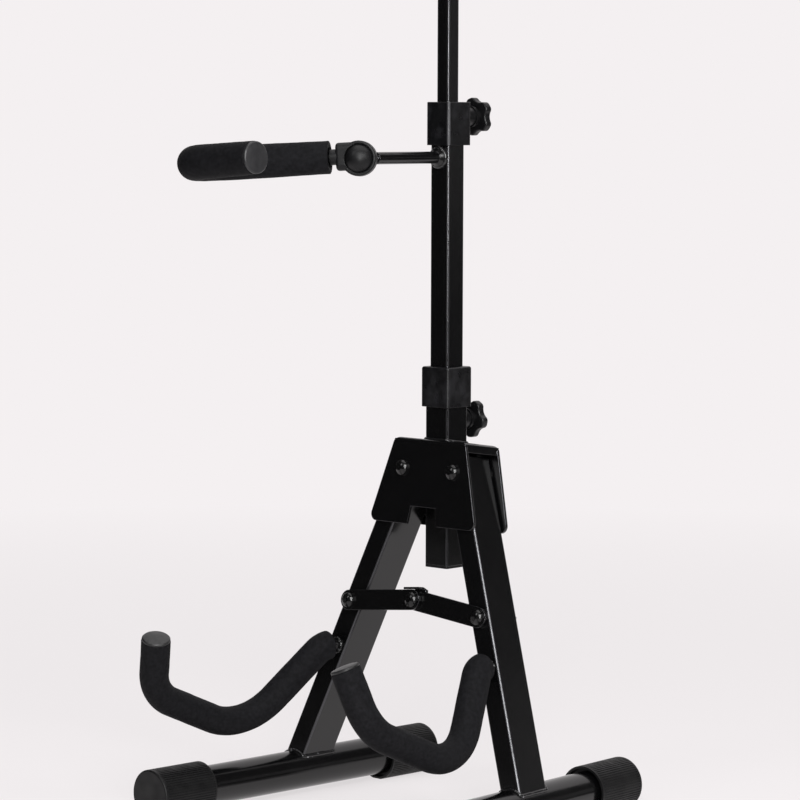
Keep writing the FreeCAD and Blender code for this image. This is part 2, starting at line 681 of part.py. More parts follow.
def padded_arm(prefix, route, foam_route, foam_radius, place, foam_place):
    """A bent steel tube with a foam sleeve over it and a plug in its free end."""
    keep(prefix + "_rod", pipe(prefix + "_rod_body", route, cell("arm_radius"), cell("arm_bore"), place))
    keep(prefix + "_foam", pipe(prefix + "_foam_body", foam_route, foam_radius,
                                cell("arm_radius") + cell("foam_gap"), foam_place))
    tip = place * route.end_place()
    face = foam_radius - cell("tip_inset")
    rim = face - cell("tip_chamfer")
    rise = number("tip_crown")
    shoulder = number("tip_thickness") + number("tip_chamfer")
    sphere_radius = (rim.value ** 2 + rise ** 2) / (rise * 2)
    spigot = cylinder(prefix + "_tip_spigot", cell("arm_bore") - cell("spigot_gap"), cell("spigot_length"),
                      tip * at(z=-number("spigot_length")))
    disc = cylinder(prefix + "_tip_disc", face, cell("tip_thickness"), tip)
    bevel = cone(prefix + "_tip_bevel", face, rim, cell("tip_chamfer"), tip * at(z=number("tip_thickness")))
    sphere = ball(prefix + "_tip_sphere", sphere_radius, tip * at(z=shoulder + rise - sphere_radius))
    core = cylinder(prefix + "_tip_core", rim, cell("tip_crown") + shoulder, tip)
    crown = common(prefix + "_tip_crown", sphere, core)
    return keep(prefix + "_tip", fuse(prefix + "_tip", spigot, disc, bevel, crown))


def foot_cap(label, place):
    """A ribbed rubber cup over one end of a foot tube; Z points out of the tube and -Y is the floor."""
    body = new_body(label + "_cup", place)
    disc = sketch_on(body, label + "_disc", "XY_Plane")
    draw_circle(disc, cell("cap_radius"))
    length = number("cap_length")
    solid = pad(body, disc, cell("cap_length"))
    round_edges(body, solid, cell("cap_edge"), lambda edge: abs(edge.CenterOfMass.z - length) < 0.01)
    groove = sketch_on(body, label + "_groove", "YZ_Plane", -number("rib_groove") / 2)
    reach = number("cap_radius") + 1
    depth = number("cap_radius") - number("rib_depth")
    start, stop = number("rib_start"), length - number("rib_stop")
    draw_polygon(groove, [(depth, start), (reach, start), (reach, stop), (depth, stop)])
    polar(body, pocket(body, groove, cell("rib_groove")), cell("cap_ribs"))
    flat = block(label + "_flat", cell("cap_radius") * 2, 10, cell("cap_length") + 2,
                 place * at(y=-number("cap_radius") + number("cap_flat") - 5, z=-1))
    bore = cylinder(label + "_bore", cell("foot_radius") + cell("cap_gap"),
                    cell("cap_length") - cell("cap_wall") + 1, place * at(z=-1))
    mouth = cylinder(label + "_mouth", cell("cap_radius") - cell("cap_lip"), cell("cap_mouth") + 1,
                     place * at(z=-1))
    return keep(label, cut(label, body, flat, bore, mouth))


def cradle_bends(route, first_turn):
    """The three bends of a cradle arm: down by the first turn, out to the front, and up."""
    route.bend(cell("cradle_bend_one"), first_turn)
    route.run(cell("cradle_run_one"))
    route.bend(cell("cradle_bend_two"), cell("cradle_turn_two"), False)
    route.run(cell("cradle_run_two"))
    route.bend(cell("cradle_bend_three"), cell("cradle_turn_three"), False)
    return route.run(cell("cradle_run_three"))


# Each leg: a rectangular tube on its hinge bolt, welded to a round foot, with a padded cradle arm in front
for side, name in ((-1, "left"), (1, "right")):
    leg = bracket * at(side * hinge_x, hinge_y, 0, UP, side * number("splay"))

    # The foot lies level, in line with the leg's broad side
    under = leg.multVec(Vector(0, -number("foot_joint"), 0))
    toe_out = math.atan(math.sin(math.radians(number("rake"))) * math.tan(splay))
    forward = Vector(side * math.sin(toe_out), -math.cos(toe_out), 0)
    foot = Placement(Vector(under.x, under.y, number("cap_radius") - number("cap_flat")),
                     Rotation(UP.cross(forward), UP, forward, "ZYX"))
    tube_rear = number("rear_reach") - number("cap_wall") - number("cap_end_gap")
    foot_length = cell("front_reach") + cell("rear_reach") - cell("cap_wall") * 2 - cell("cap_end_gap") * 2
    keep(name + "_foot_tube", ring(name + "_foot_tube", cell("foot_radius"),
                                   cell("foot_radius") - cell("foot_wall"), foot_length,
                                   foot * at(z=-tube_rear)))
    foot_cap(name + "_front_cap", foot * at(z=number("front_reach") - number("cap_length")))
    foot_cap(name + "_rear_cap",
             foot * at(z=number("cap_length") - number("rear_reach"), axis=BACK, angle=180))

    # The leg's lower end is coped to the foot tube
    blank = square_tube(name + "_leg_blank", cell("leg_width"), cell("leg_depth"), cell("leg_wall"),
                        cell("leg_corner"), cell("leg_length") + cell("leg_over"),
                        leg * at(y=-number("leg_length"), axis=ACROSS, angle=-90))
    through = cell("leg_depth") + 4
    hinge_hole = cylinder(name + "_hinge_hole", cell("bush_radius") + cell("bush_gap"), through,
                          leg * at(z=-leg_face - 2))
    brace_hole = cylinder(name + "_brace_hole", cell("link_bolt_radius") + cell("thread_gap"), through,
                          leg * at(y=-number("brace_drop"), z=-leg_face - 2))
    cope = cylinder(name + "_cope", cell("foot_radius"), 160, foot * at(z=-80))
    keep(name + "_leg_tube", cut(name + "_leg_tube", blank, hinge_hole, brace_hole, cope))

    # Two flanged bushes turn on the hinge bolt
    bushes = []
    for facing, turn in ((1, 0), (-1, 180)):
        bush = "%s_bush_%d" % (name, facing + 2)
        inner = leg * at(z=facing * (leg_face - number("bush_depth")), axis=ACROSS, angle=turn)
        sleeve = cylinder(bush + "_sleeve", cell("bush_radius"), cell("bush_depth"), inner)
        flange = cylinder(bush + "_flange", cell("bush_flange_radius"), cell("bush_flange"),
                          inner * at(z=number("bush_depth")))
        bore = cylinder(bush + "_bore", cell("hinge_bolt_radius") + cell("bush_gap"),
                        cell("bush_depth") + cell("bush_flange") + 2, inner * at(z=-1))
        bushes.append(cut(bush, fuse(bush + "_turned", sleeve, flange), bore))
    keep(name + "_hinge_bushes", fuse(name + "_hinge_bushes", *bushes))

    # Cradle arm, turned a little outwards about the leg
    turn_out = math.radians(number("cradle_turn_out"))
    ahead = Vector(side * math.sin(turn_out), 0, math.cos(turn_out))
    down = Vector(0, -1, 0)
    root = leg * Placement(Vector(0, -number("cradle_drop"), leg_face),
                           Rotation(ahead, down, ahead.cross(down), "XYZ"))

    # Its foam starts a little way round the first bend
    bare = math.radians(number("cradle_bare"))
    bend_one = number("cradle_bend_one")
    foam_root = root * at(number("cradle_root") + bend_one * math.sin(bare),
                          bend_one * (1 - math.cos(bare)), 0, UP, number("cradle_bare"))
    padded_arm(name + "_cradle", cradle_bends(Route().run(cell("cradle_root")), cell("cradle_turn_one")),
               cradle_bends(Route(), cell("cradle_turn_one") - cell("cradle_bare")),
               cell("cradle_foam_radius"), root, foam_root)

# Left end of the brace: a bolt through the link, a spacer and the leg
left_leg = bracket * at(-hinge_x, hinge_y, 0, UP, -number("splay"))
left_pivot = left_leg * at(y=-number("brace_drop"))
left_seat_z = front_layer + number("link_sheet") + number("link_head_gap")
left_seat = left_pivot * at(z=left_seat_z)
left_shank_length = cell("link_nut_height") + cell("bolt_tail") + (left_seat_z + leg_face)
left_shank = cylinder("left_link_shank", cell("link_bolt_radius"), left_shank_length,
                      left_seat * at(z=-left_shank_length.value))
keep("left_link_bolt", fuse("left_link_bolt", domed_head("left_link_head", left_seat), left_shank))
keep("left_link_nut", hex_nut("left_link_nut", cell("link_nut_radius"), cell("link_nut_height"),
                              cell("link_bolt_radius") + cell("thread_gap"),
                              left_pivot * at(z=-leg_face - number("link_nut_height"))))
spacer_height = as_size(front_layer - leg_face) - cell("spacer_gap")
keep("left_link_spacer", ring("left_link_spacer", cell("spacer_radius"),
                              cell("link_bolt_radius") + cell("thread_gap"), spacer_height,
                              left_pivot * at(z=leg_face)))

# Right end of the brace: the leg keeps the nut and the tail of its bolt
right_leg = bracket * at(hinge_x, hinge_y, 0, UP, number("splay"))
right_pivot = right_leg * at(y=-number("brace_drop"))
right_tail_length = cell("leg_depth") + cell("link_nut_height") + cell("bolt_tail")
keep("right_link_tail", cylinder("right_link_tail", cell("link_bolt_radius"), right_tail_length,
                                 right_pivot * at(z=leg_face - right_tail_length.value)))
keep("right_link_nut", hex_nut("right_link_nut", cell("link_nut_radius"), cell("link_nut_height"),
                               cell("link_bolt_radius") + cell("thread_gap"),
                               right_pivot * at(z=-leg_face - number("link_nut_height"))))


# Brace links: flat bars with round ends, one in front of the other
def flat_link(name, place):
    half = cell("link_half_width")
    bar = block(name + "_bar", link_length, half * 2, cell("link_sheet"), place * at(x=link_length / 2))
    near_end = cylinder(name + "_near_end", half, cell("link_sheet"), place)
    far_end = cylinder(name + "_far_end", half, cell("link_sheet"), place * at(x=link_length))
    return fuse(name + "_blank", bar, near_end, far_end)


def link_holes(name, place):
    radius = cell("link_bolt_radius") + cell("thread_gap")
    depth = cell("link_sheet") + 2
    near_hole = cylinder(name + "_near_hole", radius, depth, place * at(z=-1))
    far_hole = cylinder(name + "_far_hole", radius, depth, place * at(x=link_length, z=-1))
    return near_hole, far_hole


left_link = bracket * at(-pivot_x, pivot_y, front_layer, UP, link_angle)
right_link = bracket * at(pivot_x, pivot_y, rear_layer, UP, 180 - link_angle)
left_blank = flat_link("left_link", left_link)
keep("left_brace_link", cut("left_brace_link", left_blank, *link_holes("left_link", left_link)))

# The right link has a tab bent forward over the left link, which stops the brace as it opens
tab_span = cell("tab_left") + cell("tab_right")
tab_middle = link_length + (number("tab_right") - number("tab_left")) / 2
tab_underside = number("link_half_width") + number("tab_gap")
layer_step = front_layer - rear_layer
tab = block("brace_tab", tab_span, cell("tab_sheet"), cell("link_sheet") + layer_step,
            left_link * at(tab_middle, tab_underside + number("tab_sheet") / 2, -layer_step))
web_x = link_length + number("tab_right") / 2 + 0.5
tab_web = block("brace_tab_web", cell("tab_right") - 1, cell("link_half_width") + cell("tab_gap") + 1,
                cell("link_sheet"), left_link * at(web_x, tab_underside / 2 + 0.5, -layer_step))

# The tab's outer corner is cut off on a slope, down to the edge of the link
slope_fall = number("tab_slope_run") * math.tan(math.radians(number("tab_slope")))
slope_middle = left_link * at(link_length + number("tab_right") - number("tab_slope_run") / 2,
                              tab_underside + number("tab_sheet") - slope_fall / 2, -layer_step - 1)
tab_corner = block("brace_tab_corner", cell("tab_slope_run") * 4, 8, cell("link_sheet") + layer_step + 2,
                   slope_middle * at(axis=UP, angle=-number("tab_slope")) * at(y=4))
sloped_tab = cut("brace_tab_sloped", fuse("brace_tab_blank", tab, tab_web), tab_corner)
right_blank = fuse("right_link_with_tab", flat_link("right_link", right_link), sloped_tab)
keep("right_brace_link", cut("right_brace_link", right_blank, *link_holes("right_link", right_link)))

# The bolts of the brace that ride on its links
centre_seat = left_link * at(x=link_length, z=number("link_sheet") + number("centre_head_gap"))
centre_gaps = cell("centre_head_gap") + cell("centre_nut_gap")
centre_length = cell("link_sheet") + cell("link_nut_height") + centre_gaps + layer_step
centre_shank = cylinder("brace_centre_shank", cell("link_bolt_radius"), centre_length,
                        centre_seat * at(z=-centre_length.value))
centre_head = domed_head("brace_centre_head", centre_seat)
keep("brace_centre_bolt", fuse("brace_centre_bolt", centre_head, centre_shank))
keep("brace_centre_nut", hex_nut("brace_centre_nut", cell("link_nut_radius"), cell("link_nut_height"),
                                 cell("link_bolt_radius") + cell("thread_gap"),
                                 centre_seat * at(z=-centre_length.value)))
right_seat = right_link * at(z=number("link_sheet"))
right_stub = cylinder("right_link_stub", cell("link_bolt_radius"), cell("link_sheet"), right_link)
keep("right_link_bolt", fuse("right_link_bolt", domed_head("right_link_head", right_seat), right_stub))

# Neck arm: a rod welded to the middle tube, with a ball on a stud at its end
arm_start = -number("middle_side") / 2
front_facing = column * at(y=arm_start, z=number("arm_height"), axis=ACROSS, angle=90)
shaft_length = cell("arm_reach") - cell("middle_side") / 2 - cell("stud_length")
shaft = cylinder("neck_arm_shaft", cell("arm_radius"), shaft_length, front_facing)
bead = cylinder("neck_arm_bead", cell("arm_bead_radius"), cell("arm_bead_width") / 2, front_facing)
bead_slope = cone("neck_arm_bead_slope", cell("arm_bead_radius"), cell("arm_radius"),
                  cell("arm_bead_width"), front_facing * at(z=number("arm_bead_width") / 2))
stud_length = cell("stud_length") - cell("ball_radius") + cell("stud_depth")
stud = cylinder("neck_arm_stud", cell("stud_radius"), stud_length, front_facing * at(z=shaft_length.value))
ball_centre = column * at(y=-number("arm_reach"), z=number("arm_height"))
keep("neck_arm_rod", fuse("neck_arm_rod", shaft, bead, bead_slope, stud))
stud_bore = cylinder("swivel_ball_bore", cell("stud_radius") + cell("thread_gap"),
                     stud_length + cell("thread_gap") * 2, front_facing * at(z=shaft_length.value))
ball_blank = ball("swivel_ball_blank", cell("ball_radius"), ball_centre)
keep("swivel_ball", cut("swivel_ball", ball_blank, stud_bore))

# Swivel socket: a short barrel open at both sides, with a broad shoulder and a neck that carries the yoke
yoke = ball_centre * at(axis=BACK, angle=-number("yoke_droop")) * at(axis=UP, angle=number("yoke_heading"))
barrel_frame = yoke * at(axis=ACROSS, angle=90)
barrel_body = new_body("socket_barrel", barrel_frame * at(z=-number("socket_half_depth")))
barrel_sketch = sketch_on(barrel_body, "socket_circle", "XY_Plane")
draw_circle(barrel_sketch, cell("socket_radius"))
barrel = pad(barrel_body, barrel_sketch, cell("socket_half_depth") * 2)
round_edges(barrel_body, barrel, cell("socket_edge"), lambda edge: len(edge.Vertexes) == 1)
along_neck = yoke * at(z=number("yoke_rise"), axis=BACK, angle=90)
shoulder = square_bar("socket_shoulder", cell("shoulder_width"), cell("shoulder_depth"),
                      cell("shoulder_corner"), cell("shoulder_end"), along_neck)
doc.recompute()
round_edges(shoulder, shoulder.Tip, cell("shoulder_edge"),
            lambda edge: abs(edge.CenterOfMass.z - number("shoulder_end")) < 0.01)
neck = cylinder("socket_neck", cell("neck_radius"), cell("neck_end") - cell("neck_start"),
                along_neck * at(z=number("neck_start")))
seat_outer = cell("ball_radius") + cell("ball_gap") + cell("seat_thickness")
cavity = ball("socket_cavity", seat_outer + cell("ball_gap"), ball_centre)
mouth = cylinder("socket_mouth_hole", cell("socket_mouth"), cell("shoulder_depth") + 2,
                 barrel_frame * at(z=-number("shoulder_depth") / 2 - 1))
rod_seat = cylinder("socket_rod_seat", cell("arm_radius") + cell("foam_gap"), cell("yoke_socket_depth") + 1,
                    along_neck * at(z=number("neck_end") - number("yoke_socket_depth")))
socket_blank = fuse("socket_blank", barrel_body, shoulder, neck)
keep("yoke_socket", cut("yoke_socket", socket_blank, cavity, mouth, rod_seat))

# A thin nylon seat lies between the ball and the socket
seat_sphere = ball("seat_sphere", seat_outer, ball_centre)
seat_band = cylinder("seat_band", cell("socket_radius") + 2, cell("seat_half_width") * 2,
                     barrel_frame * at(z=-number("seat_half_width")))
seat_room = ball("seat_room", cell("ball_radius") + cell("ball_gap"), ball_centre)
keep("swivel_seat", cut("swivel_seat", common("seat_band_sphere", seat_sphere, seat_band), seat_room))

# Yoke: a bent tube in foam that goes round the instrument's neck
yoke_rod_start = cell("neck_end") - cell("yoke_socket_depth")
yoke_run_full = cell("yoke_run_one") + cell("yoke_foam_start") - yoke_rod_start


def yoke_bends(route):
    return route.bend(cell("yoke_bend"), cell("yoke_turn")).run(cell("yoke_run_two"))


padded_arm("yoke", yoke_bends(Route().run(yoke_run_full)), yoke_bends(Route().run(cell("yoke_run_one"))),
           cell("yoke_foam_radius"), yoke * at(x=yoke_rod_start.value, z=number("yoke_rise")),
           yoke * at(x=number("yoke_foam_start"), z=number("yoke_rise")))

# Bow hook: a bent rod behind the upper tube, in a rubber sleeve
hook_turned = Rotation(BACK, UP, ACROSS, "XYZ")
hook_start = column * Placement(Vector(0, number("upper_side") / 2, number("hook_height")), hook_turned)


def hook_bends(route):
    return route.bend(cell("hook_bend"), cell("hook_turn")).run(cell("hook_rise"))


keep("bow_hook", pipe("bow_hook_body", hook_bends(Route().run(cell("hook_reach"))), cell("hook_radius"),
                      None, hook_start))
keep("bow_hook_sleeve", pipe("bow_hook_sleeve_body",
                             hook_bends(Route().run(cell("hook_reach") - cell("hook_sleeve_start"))),
                             cell("hook_sleeve_radius"), cell("hook_radius") + cell("foam_gap"),
                             hook_start * at(x=number("hook_sleeve_start"))))

# Every feature has to be sound before anything is written
doc.recompute()
for item in doc.Objects:
    if "Invalid" in item.State or "Error" in item.State:
        raise RuntimeError("%s failed: %s" % (item.Label, item.State))
for label, item in nodes.items():
    if item.Shape.isNull() or not item.Shape.isValid() or not item.Shape.Solids:
        raise RuntimeError("%s has no sound solid" % label)

os.makedirs("parts", exist_ok=True)
for label, item in nodes.items():
    item.Shape.exportStep("parts/%s.step" % label)
box = Part.makeCompound([item.Shape for item in nodes.values()]).BoundBox
print("%d pieces, %.1f x %.1f x %.1f mm" % (len(nodes), box.XLength, box.YLength, box.ZLength))
print("middle of the base at x %.2f, y %.2f, lowest point %.3f" % (box.Center.x, box.Center.y, box.ZMin))
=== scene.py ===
import bpy
import json
import math
from mathutils import Matrix, Vector, noise


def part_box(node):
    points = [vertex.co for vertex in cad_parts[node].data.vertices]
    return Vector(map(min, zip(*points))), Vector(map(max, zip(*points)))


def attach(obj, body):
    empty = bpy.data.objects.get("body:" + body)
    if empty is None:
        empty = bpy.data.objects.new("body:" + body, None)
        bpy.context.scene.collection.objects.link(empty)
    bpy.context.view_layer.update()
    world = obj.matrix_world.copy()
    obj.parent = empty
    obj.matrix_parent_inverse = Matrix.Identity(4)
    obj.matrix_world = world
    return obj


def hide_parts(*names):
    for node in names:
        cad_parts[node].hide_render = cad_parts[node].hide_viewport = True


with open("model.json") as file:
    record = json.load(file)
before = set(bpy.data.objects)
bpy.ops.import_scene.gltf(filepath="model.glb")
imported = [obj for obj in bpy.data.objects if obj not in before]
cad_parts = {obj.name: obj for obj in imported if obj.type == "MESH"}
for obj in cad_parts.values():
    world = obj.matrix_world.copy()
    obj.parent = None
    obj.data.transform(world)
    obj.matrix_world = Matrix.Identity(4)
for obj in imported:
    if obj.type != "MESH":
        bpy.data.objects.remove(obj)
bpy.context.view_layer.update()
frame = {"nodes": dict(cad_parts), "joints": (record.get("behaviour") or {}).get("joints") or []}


# Hinge bracket: one piece of steel sheet, cut out and folded into a channel with a lip at each end.
# It is sprayed with black powder and baked, which leaves a semi-gloss skin with a fine orange peel
# and rounds every cut edge a little.
nodes = frame["nodes"]


class Finish:
    """A procedural material, put together node by node. Its textures are measured in metres on the piece."""

    def __init__(self, name, colour, specular, roughness=0.5):
        self.material = bpy.data.materials.new(name)
        self.material.use_nodes = True
        self.tree = self.material.node_tree
        self.shader = self.tree.nodes["Principled BSDF"]
        self.shader.inputs["Base Color"].default_value = (*colour, 1)
        self.shader.inputs["Roughness"].default_value = roughness
        self.shader.inputs["Specular IOR Level"].default_value = specular
        self.place = self.node("ShaderNodeTexCoord").outputs["Object"]
        self.normal = None

    def node(self, kind, inputs=None, **settings):
        """A new node. Each of its inputs is joined to another node's output or given a value."""
        made = self.tree.nodes.new(kind)
        for setting, value in settings.items():
            setattr(made, setting, value)
        for socket, value in (inputs or {}).items():
            if isinstance(value, bpy.types.NodeSocket):
                self.tree.links.new(value, made.inputs[socket])
            else:
                made.inputs[socket].default_value = value
        return made

    def join(self, output, socket):
        """Let a node's output drive one of the shader's sockets."""
        self.tree.links.new(output, self.shader.inputs[socket])

    def reckon(self, operation, *factors):
        """One step of arithmetic on factors."""
        return self.node("ShaderNodeMath", dict(enumerate(factors)), operation=operation).outputs["Value"]

    def between(self, factor, low, high, out_low, out_high):
        """A factor stretched from one range to another, and held within it."""
        inputs = {"Value": factor, "From Min": low, "From Max": high, "To Min": out_low, "To Max": out_high}
        return self.node("ShaderNodeMapRange", inputs).outputs["Result"]

    def grain(self, size, detail=2.0):
        """Even noise whose lumps are about this size."""
        inputs = {"Vector": self.place, "Scale": 1 / size, "Detail": detail}
        return self.node("ShaderNodeTexNoise", inputs).outputs["Fac"]

    def cells(self, size):
        """Distance from the nearest of many scattered points, 0 at a point and in parts of this size."""
        inputs = {"Vector": self.place, "Scale": 1 / size}
        return self.node("ShaderNodeTexVoronoi", inputs).outputs["Distance"]

    def patches(self, size, low, high, detail):
        """Soft patches of about this size: 0 where the grain is under the low level, 1 over the high one."""
        return self.between(self.grain(size, detail), low, high, 0.0, 1.0)

    def specks(self, size, core, rim, strength=1.0):
        """Scattered specks, at full strength within the core and gone at the rim."""
        return self.between(self.cells(size), core, rim, strength, 0.0)

    def paint(self, where, colour):
        """Lay a colour over what is there already, where a factor says so."""
        mix = self.node("ShaderNodeMix", {"Factor": where}, data_type="RGBA")
        under = self.shader.inputs["Base Color"]
        if under.is_linked:
            self.tree.links.new(under.links[0].from_socket, mix.inputs["A"])
        else:
            mix.inputs["A"].default_value = under.default_value
        mix.inputs["B"].default_value = (*colour, 1)
        self.join(mix.outputs["Result"], "Base Color")

    def paint_highlight(self, where, steel):
        """Make the surface metal-like and paler where a factor says so: a painted highlight."""
        self.join(where, "Metallic")
        self.paint(where, steel)

    def gloss(self, size, smoothest, roughest, detail=2.0):
        """Let the roughness drift between two values, over patches of about this size."""
        grain_low, grain_high = 0.3, 0.7
        drift = self.between(self.grain(size, detail), grain_low, grain_high, smoothest, roughest)
        self.join(drift, "Roughness")

    def soft_edges(self, radius):
        """Let sharp edges catch the light as if they were rounded to this radius."""
        self.rounded = self.node("ShaderNodeBevel", {"Radius": radius}, samples=6).outputs["Normal"]
        self.normal = self.rounded

    def off_square(self):
        """How far a softened edge leans away from the flat face beside it."""
        leaning, flush = 0.80, 0.97
        flat = self.node("ShaderNodeNewGeometry").outputs["True Normal"]
        cosine = self.node("ShaderNodeVectorMath", {0: flat, 1: self.rounded}, operation="DOT_PRODUCT")
        return self.between(cosine.outputs["Value"], leaning, flush, 1.0, 0.0)

    def relief(self, height, depth):
        """Raise the surface by a height texture, over what was raised before it."""
        bump = self.node("ShaderNodeBump", {"Height": height, "Distance": depth})
        if self.normal:
            self.tree.links.new(self.normal, bump.inputs["Normal"])
        self.normal = bump.outputs["Normal"]
        self.join(self.normal, "Normal")

    def dress(self, *names):
        """Put this finish on pieces of the frame."""
        for name in names:
            nodes[name].material_slots[0].material = self.material


coat_black = (0.0020, 0.0020, 0.0022)
coat_dust = (0.010, 0.010, 0.0105)
# Colour of the painted highlight along the coat's edges.
painted_edge_highlight = (0.075, 0.075, 0.08)
coat_edge = 0.0009
peel_size, peel_depth = 0.0024, 0.000010
fine_peel_size, fine_peel_depth = peel_size / 5, 0.000004
speck_size = 0.011


def powder_coated(name):
    """The sprayed black coat: a dark skin with dust specks, a gloss that drifts, and orange peel."""
    coat = Finish(name, coat_black, specular=0.5)
    coat.paint(coat.specks(speck_size, core=0.03, rim=0.06), coat_dust)
    coat.gloss(0.03, smoothest=0.14, roughest=0.20, detail=3.0)
    coat.soft_edges(coat_edge)
    coat.relief(coat.grain(peel_size), depth=peel_depth)
    coat.relief(coat.grain(fine_peel_size), depth=fine_peel_depth)
    return coat


powder_coat = powder_coated("black_powder_coat")
# The coat is painted paler and metal-like along its softened edges: a painted edge highlight.
powder_coat.paint_highlight(powder_coat.off_square(), painted_edge_highlight)
powder_coat.dress("hinge_bracket")


# Lower tube: square steel tube welded through the top of the bracket, with a moulded plug in its foot.
# A round nut for the clamping screw is welded to its back. The weld beads are painted over with the tube.
joints = {joint["name"]: joint for joint in frame["joints"]}
across, upward, backward = Vector((1, 0, 0)), Vector((0, 0, 1)), Vector((0, 1, 0))


def add_object(name, data):
    """Put a mesh, a lamp or a camera into the scene."""
    made = bpy.data.objects.new(name, data)
    bpy.context.scene.collection.objects.link(made)
    return made


def mesh_object(name, verts, faces, finish):
    """A mesh of these points and faces, with a finish on it."""
    mesh = bpy.data.meshes.new(name)
    mesh.from_pydata(verts, [], faces)
    mesh.materials.append(finish.material)
    return add_object(name, mesh)


def sweep(name, stations, finish, body, closed=False):
    """A smooth mesh swept through rings of points, which all have the same count."""
    around = len(stations[0])
    verts = [point for ring in stations for point in ring]
    count = len(stations)
    faces = []
    for n in range(count if closed else count - 1):
        here, there = n * around, (n + 1) % count * around
        for k in range(around):
            faces.append((here + k, here + (k + 1) % around, there + (k + 1) % around, there + k))
    piece = mesh_object(name, verts, faces, finish)
    piece.data.polygons.foreach_set("use_smooth", [True] * len(faces))
    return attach(piece, body)


def circle_points(centre, one, two, radius, count):
    """Points of a circle about a centre, in the plane of two unit vectors."""
    turns = [2 * math.pi * n / count for n in range(count)]
    return [centre + (one * math.cos(turn) + two * math.sin(turn)) * radius for turn in turns]


# Weld coat: black, dusty in places, with pale metal-like specks that are painted glints for small highlights
# on the welds.
painted_weld_glints = (0.5, 0.5, 0.52)
weld_coat = Finish("painted_weld", coat_black, specular=0.6, roughness=0.12)
weld_coat.paint(weld_coat.grain(0.003), coat_dust)
weld_coat.paint_highlight(weld_coat.specks(0.0042, core=0.10, rim=0.20), painted_weld_glints)
weld_coat.relief(weld_coat.grain(0.0009), depth=0.00002)


def weld_bead(name, path, radius, body, ripple=0.0021):
    """A closed bead of weld metal along a joint, rippled where each drop set on the last one."""
    bead_sides, thinnest = 10, 0.9
    ripple_rise, lump_rise, lump_rate = 0.16, 0.22, 160
    count = len(path)
    rings = []
    travelled = 0.0
    for n, point in enumerate(path):
        along = (path[(n + 1) % count] - path[n - 1]).normalized()
        side = along.orthogonal().normalized()
        travelled += (point - path[n - 1]).length
        swell = ripple_rise * abs(math.sin(math.pi * travelled / ripple))
        swell += lump_rise * noise.noise(point * lump_rate)
        rings.append(circle_points(point, side, along.cross(side), radius * (thinnest + swell), bead_sides))
    sweep(name, rings, weld_coat, body, closed=True)


def square_loop(centre_x, centre_y, half, corner, step=0.0007):
    """Points round a square with rounded corners, at a spacing of about one step."""
    points = []
    straight = half - corner
    for quarter in range(4):
        turn = Matrix.Rotation(quarter * math.pi / 2, 2)
        for n in range(int(2 * straight / step)):
            points.append(turn @ Vector((half, -straight + n * step)))
        for n in range(int(corner * math.pi / 2 / step)):
            angle = n * step / corner
            arc_x, arc_y = corner * math.cos(angle), corner * math.sin(angle)
            points.append(turn @ Vector((straight + arc_x, straight + arc_y)))
    return [Vector((centre_x + point.x, centre_y + point.y, 0)) for point in points]


tube_corner = 0.002
# Colour of the painted highlight along the tubes' corners.
painted_corner_highlight = (0.085, 0.085, 0.09)


def along_corners(finish, name, place, half_x, half_y, corner):
    """A factor that is 1 along the four long corners of a square piece and 0 on its faces, unevenly broken
    up. It places painted corner highlights.

    The place has Z along the piece; the half sizes are those across it.
    """
    breakup_size, faintest_strip = 0.02, 0.6
    local = nodes[name].matrix_world.inverted() @ place
    inputs = {"Vector": finish.place, "Location": local.translation, "Rotation": local.to_euler()}
    spot = finish.node("ShaderNodeMapping", inputs, vector_type="TEXTURE").outputs["Vector"]
    parts = finish.node("ShaderNodeSeparateXYZ", {0: spot}).outputs
    depths = []
    for part, half in (("X", half_x), ("Y", half_y)):
        begins, full = half - corner * 0.95, half - corner * 0.5
        depths.append(finish.between(finish.reckon("ABSOLUTE", parts[part]), begins, full, 0.0, 1.0))
    strip_breakup = finish.between(finish.grain(breakup_size, detail=3.0), 0.3, 0.6, faintest_strip, 1.0)
    return finish.reckon("MULTIPLY", finish.reckon("MINIMUM", *depths), strip_breakup)


def coat_tube(name, place, half_x, half_y):
    """Coat a square tube, and paint a paler, metal-like strip along its four long corners: a painted
    highlight.
    """
    coat = powder_coated(name + "_coat")
    coat.paint_highlight(along_corners(coat, name, place, half_x, half_y, tube_corner), painted_corner_highlight)
    coat.dress(name)


bracket_bead, nut_bead = 0.0017, 0.0012
powder_coat.dress("lower_knob_nut")
tube_low, tube_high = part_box("lower_tube")
column_y = (tube_low.y + tube_high.y) / 2
lower_half = (tube_high.x - tube_low.x) / 2
column_line = Matrix.Translation((0, column_y, 0))
coat_tube("lower_tube", column_line, lower_half, lower_half)
bolt_axis = Vector(joints["left_leg_fold"]["axis"])
bracket_up = bolt_axis.cross(across)
bead_loop = square_loop(0, column_y, lower_half, tube_corner)
web_rise = bracket_up.y / bracket_up.z
web_height = max(vertex.co.dot(bracket_up) for vertex in nodes["hinge_bracket"].data.vertices)
for point in bead_loop:
    point.z = web_height / bracket_up.z - point.y * web_rise
weld_bead("bracket_weld", bead_loop, bracket_bead, "column")
nut_low, nut_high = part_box("lower_knob_nut")
nut_middle = (nut_low + nut_high) / 2
nut_seat = Vector((nut_middle.x, tube_high.y, nut_middle.z))
nut_radius = (nut_high.x - nut_low.x) / 2
nut_ring = circle_points(nut_seat, across, upward, nut_radius, count=70)
weld_bead("lower_nut_weld", nut_ring, nut_bead, "column")

